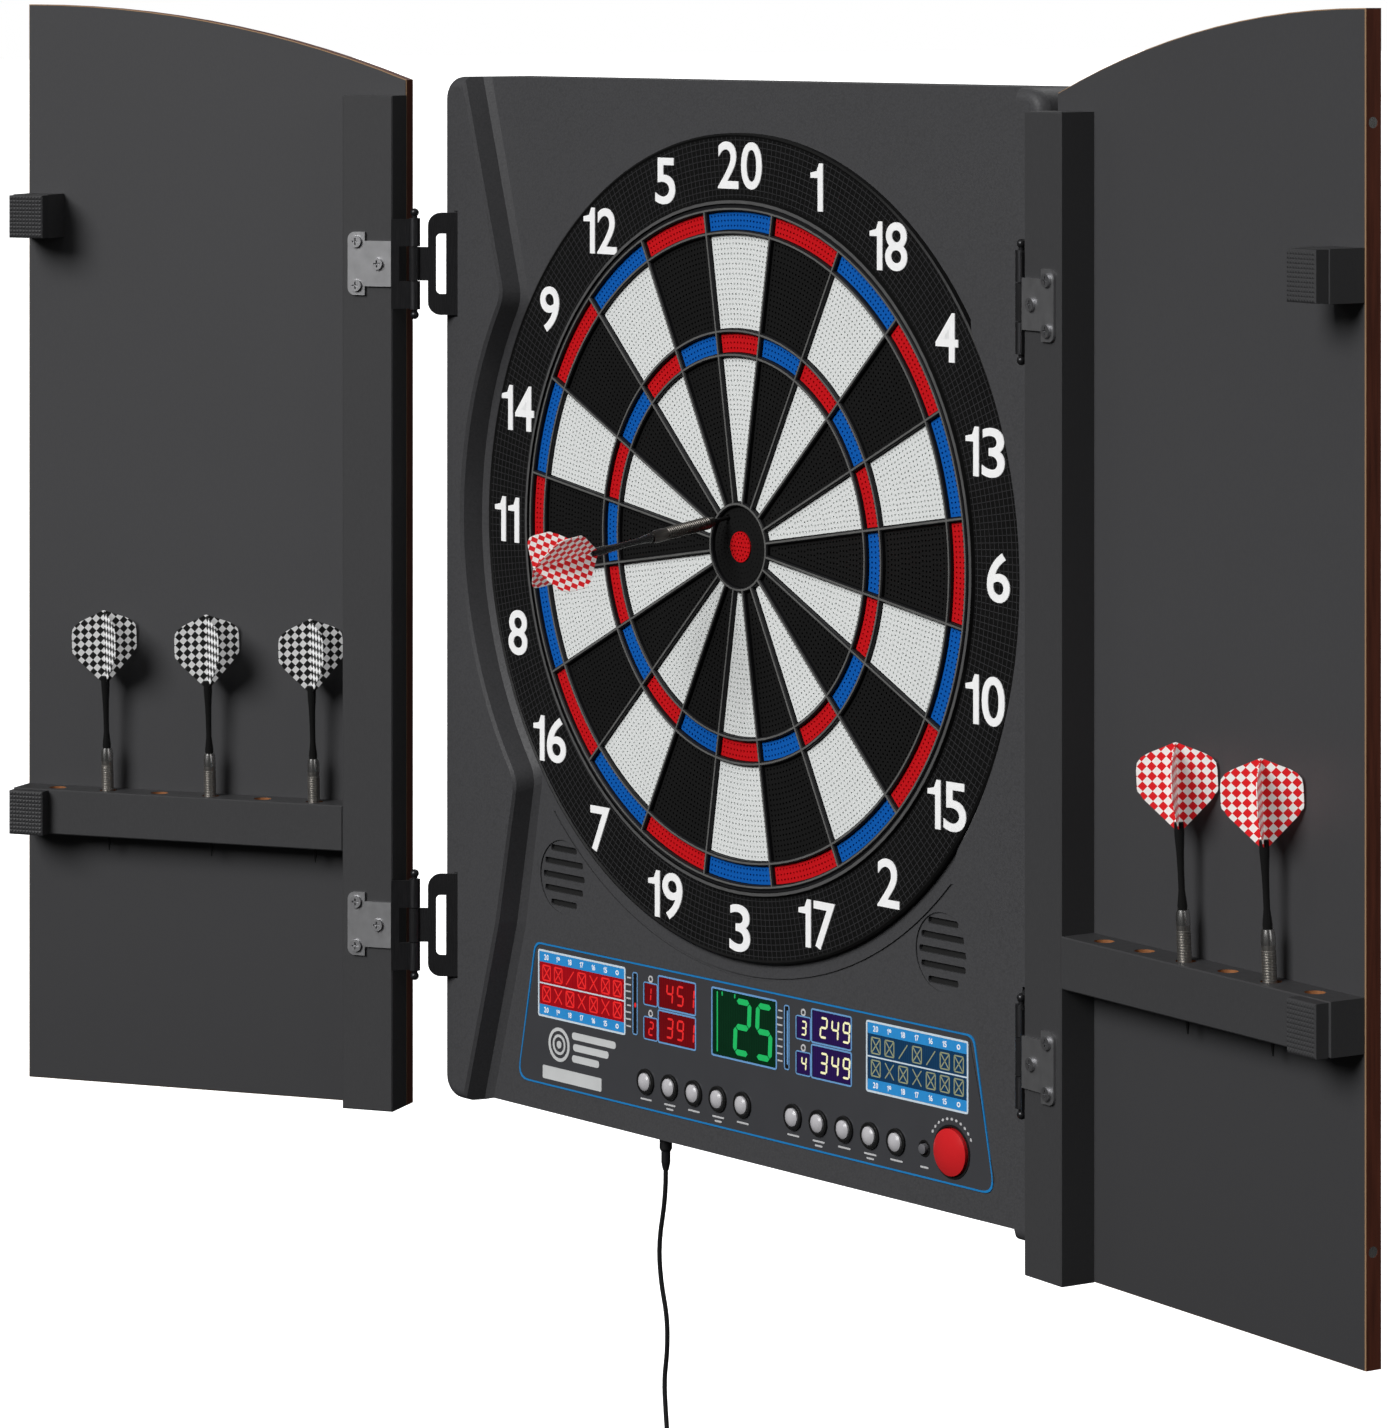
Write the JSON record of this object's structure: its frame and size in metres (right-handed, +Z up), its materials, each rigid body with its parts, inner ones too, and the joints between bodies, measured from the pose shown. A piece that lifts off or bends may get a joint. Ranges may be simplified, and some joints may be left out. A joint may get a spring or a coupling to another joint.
{
  "type": "electronic dartboard",
  "caption": "Wall-hung electronic dartboard with sprung scoring segments, a control panel, two hinged doors with dart racks, darts and a power lead.",
  "frame": {"origin": "on the bull's axis, at the wall plane of the rear cover", "axes": "+X to the right as a player sees it, +Y into the wall, +Z up"},
  "size_m": [0.935, 0.1965, 0.9021],
  "materials": {
    "charcoal_abs": "fine grained",
    "black_abs": "satin",
    "white_segment": "dimpled satin",
    "black_segment": "dimpled satin",
    "red_segment": "dimpled satin",
    "blue_segment": "dimpled satin",
    "panel_film": "printed film",
    "display": "tinted lens",
    "circuit": "solder resist",
    "membrane": "polyester film",
    "speaker": "paper cone",
    "steel": "satin",
    "black_steel": "powder coated",
    "white_button": "domed",
    "red_button": "domed",
    "grey_button": "domed",
    "door_board": "black laminate, dark mahogany edge",
    "black_wood": "black lacquer",
    "pad_rubber": "diamond knurled",
    "dart": "knurled barrel",
    "black_dart": "knurled barrel",
    "cord_jacket": "satin"
  },
  "bodies": {
    "root": {"front_housing": "charcoal_abs", "rear_cover": "black_abs", "housing_screws": "steel", "spider": "black_abs", "number_ring": "black_abs", "sensor_membrane": "membrane", "control_overlay": "panel_film", "display_modules": "display", "circuit_board": "circuit", "speakers": "speaker", "dc_jack": "black_abs", "hinge_brackets": "black_steel", "hinge_pins": "steel", "dc_plug": "black_abs", "power_cord": "cord_jacket", "cord_tail": "cord_jacket", "cord_coil": "cord_jacket", "wall_adaptor": "black_abs"},
    "left_door": {"left_panel": "door_board", "left_stile": "black_wood", "left_dart_rack": "black_wood", "left_bumpers": "pad_rubber", "left_hinge_leaves": "steel", "left_door_screws": "steel", "left_magnets": "steel"},
    "right_door": {"right_panel": "door_board", "right_stile": "black_wood", "right_dart_rack": "black_wood", "right_bumpers": "pad_rubber", "right_hinge_leaves": "steel", "right_door_screws": "steel", "right_magnets": "steel"},
    "inner_singles_white": {"inner_singles_white": "white_segment"},
    "inner_singles_black": {"inner_singles_black": "black_segment"},
    "outer_singles_white": {"outer_singles_white": "white_segment"},
    "outer_singles_black": {"outer_singles_black": "black_segment"},
    "triples_red": {"triples_red": "red_segment"},
    "triples_blue": {"triples_blue": "blue_segment"},
    "doubles_blue": {"doubles_blue": "blue_segment"},
    "doubles_red": {"doubles_red": "red_segment"},
    "outer_bull": {"outer_bull": "black_segment"},
    "inner_bull": {"inner_bull": "red_segment"},
    "button_01": {"button_01": "white_button"},
    "button_02": {"button_02": "white_button"},
    "button_03": {"button_03": "white_button"},
    "button_04": {"button_04": "white_button"},
    "button_05": {"button_05": "white_button"},
    "button_06": {"button_06": "white_button"},
    "button_07": {"button_07": "white_button"},
    "button_08": {"button_08": "white_button"},
    "button_09": {"button_09": "white_button"},
    "button_10": {"button_10": "white_button"},
    "start_button": {"start_button": "red_button"},
    "reset_button": {"reset_button": "grey_button"},
    "left_dart_1": {"left_dart_1": "black_dart"},
    "left_dart_2": {"left_dart_2": "black_dart"},
    "left_dart_3": {"left_dart_3": "black_dart"},
    "right_dart_1": {"right_dart_1": "dart"},
    "right_dart_2": {"right_dart_2": "dart"},
    "stuck_dart": {"stuck_dart": "dart"}
  },
  "joints": [
    {"name": "left_door_hinge", "type": "hinge", "parent": "root", "child": "left_door", "pos_m": [-0.2393, -0.0657, 0], "axis": [0, 0, 1], "range_deg": [-30.1, 125]},
    {"name": "right_door_hinge", "type": "hinge", "parent": "root", "child": "right_door", "pos_m": [0.2393, -0.0657, 0], "axis": [0, 0, 1], "range_deg": [-172.8, 7.2]},
    {"name": "inner_singles_white_press", "type": "slide", "parent": "root", "child": "inner_singles_white", "axis": [0, 1, 0], "range_m": [0, 0.001], "stiffness_N_per_m": 1500},
    {"name": "inner_singles_black_press", "type": "slide", "parent": "root", "child": "inner_singles_black", "axis": [0, 1, 0], "range_m": [0, 0.001], "stiffness_N_per_m": 1500},
    {"name": "outer_singles_white_press", "type": "slide", "parent": "root", "child": "outer_singles_white", "axis": [0, 1, 0], "range_m": [0, 0.001], "stiffness_N_per_m": 1500},
    {"name": "outer_singles_black_press", "type": "slide", "parent": "root", "child": "outer_singles_black", "axis": [0, 1, 0], "range_m": [0, 0.001], "stiffness_N_per_m": 1500},
    {"name": "triples_red_press", "type": "slide", "parent": "root", "child": "triples_red", "axis": [0, 1, 0], "range_m": [0, 0.001], "stiffness_N_per_m": 1500},
    {"name": "triples_blue_press", "type": "slide", "parent": "root", "child": "triples_blue", "axis": [0, 1, 0], "range_m": [0, 0.001], "stiffness_N_per_m": 1500},
    {"name": "doubles_blue_press", "type": "slide", "parent": "root", "child": "doubles_blue", "axis": [0, 1, 0], "range_m": [0, 0.001], "stiffness_N_per_m": 1500},
    {"name": "doubles_red_press", "type": "slide", "parent": "root", "child": "doubles_red", "axis": [0, 1, 0], "range_m": [0, 0.001], "stiffness_N_per_m": 1500},
    {"name": "outer_bull_press", "type": "slide", "parent": "root", "child": "outer_bull", "axis": [0, 1, 0], "range_m": [0, 0.001], "stiffness_N_per_m": 1500},
    {"name": "inner_bull_press", "type": "slide", "parent": "root", "child": "inner_bull", "axis": [0, 1, 0], "range_m": [0, 0.001], "stiffness_N_per_m": 1500},
    {"name": "button_01_press", "type": "slide", "parent": "root", "child": "button_01", "axis": [0, 1, 0], "range_m": [0, 0.001], "stiffness_N_per_m": 300},
    {"name": "button_02_press", "type": "slide", "parent": "root", "child": "button_02", "axis": [0, 1, 0], "range_m": [0, 0.001], "stiffness_N_per_m": 300},
    {"name": "button_03_press", "type": "slide", "parent": "root", "child": "button_03", "axis": [0, 1, 0], "range_m": [0, 0.001], "stiffness_N_per_m": 300},
    {"name": "button_04_press", "type": "slide", "parent": "root", "child": "button_04", "axis": [0, 1, 0], "range_m": [0, 0.001], "stiffness_N_per_m": 300},
    {"name": "button_05_press", "type": "slide", "parent": "root", "child": "button_05", "axis": [0, 1, 0], "range_m": [0, 0.001], "stiffness_N_per_m": 300},
    {"name": "button_06_press", "type": "slide", "parent": "root", "child": "button_06", "axis": [0, 1, 0], "range_m": [0, 0.001], "stiffness_N_per_m": 300},
    {"name": "button_07_press", "type": "slide", "parent": "root", "child": "button_07", "axis": [0, 1, 0], "range_m": [0, 0.001], "stiffness_N_per_m": 300},
    {"name": "button_08_press", "type": "slide", "parent": "root", "child": "button_08", "axis": [0, 1, 0], "range_m": [0, 0.001], "stiffness_N_per_m": 300},
    {"name": "button_09_press", "type": "slide", "parent": "root", "child": "button_09", "axis": [0, 1, 0], "range_m": [0, 0.001], "stiffness_N_per_m": 300},
    {"name": "button_10_press", "type": "slide", "parent": "root", "child": "button_10", "axis": [0, 1, 0], "range_m": [0, 0.001], "stiffness_N_per_m": 300},
    {"name": "start_button_press", "type": "slide", "parent": "root", "child": "start_button", "axis": [0, 1, 0], "range_m": [0, 0.001], "stiffness_N_per_m": 300},
    {"name": "reset_button_press", "type": "slide", "parent": "root", "child": "reset_button", "axis": [0, 1, 0], "range_m": [0, 0.001], "stiffness_N_per_m": 300},
    {"name": "left_dart_1_lift", "type": "slide", "parent": "left_door", "child": "left_dart_1", "axis": [0.0262, -0.0453, 0.9986], "range_m": [0, 0.06]},
    {"name": "left_dart_2_lift", "type": "slide", "parent": "left_door", "child": "left_dart_2", "axis": [0.0262, -0.0453, 0.9986], "range_m": [0, 0.06]},
    {"name": "left_dart_3_lift", "type": "slide", "parent": "left_door", "child": "left_dart_3", "axis": [0.0262, -0.0453, 0.9986], "range_m": [0, 0.06]},
    {"name": "right_dart_1_lift", "type": "slide", "parent": "right_door", "child": "right_dart_1", "axis": [-0.0066, -0.0519, 0.9986], "range_m": [0, 0.06]},
    {"name": "right_dart_2_lift", "type": "slide", "parent": "right_door", "child": "right_dart_2", "axis": [-0.0066, -0.0519, 0.9986], "range_m": [0, 0.06]},
    {"name": "stuck_dart_pull", "type": "slide", "parent": "root", "child": "stuck_dart", "axis": [0, -0.9903, -0.1392], "range_m": [0, 0.12]}
  ]
}
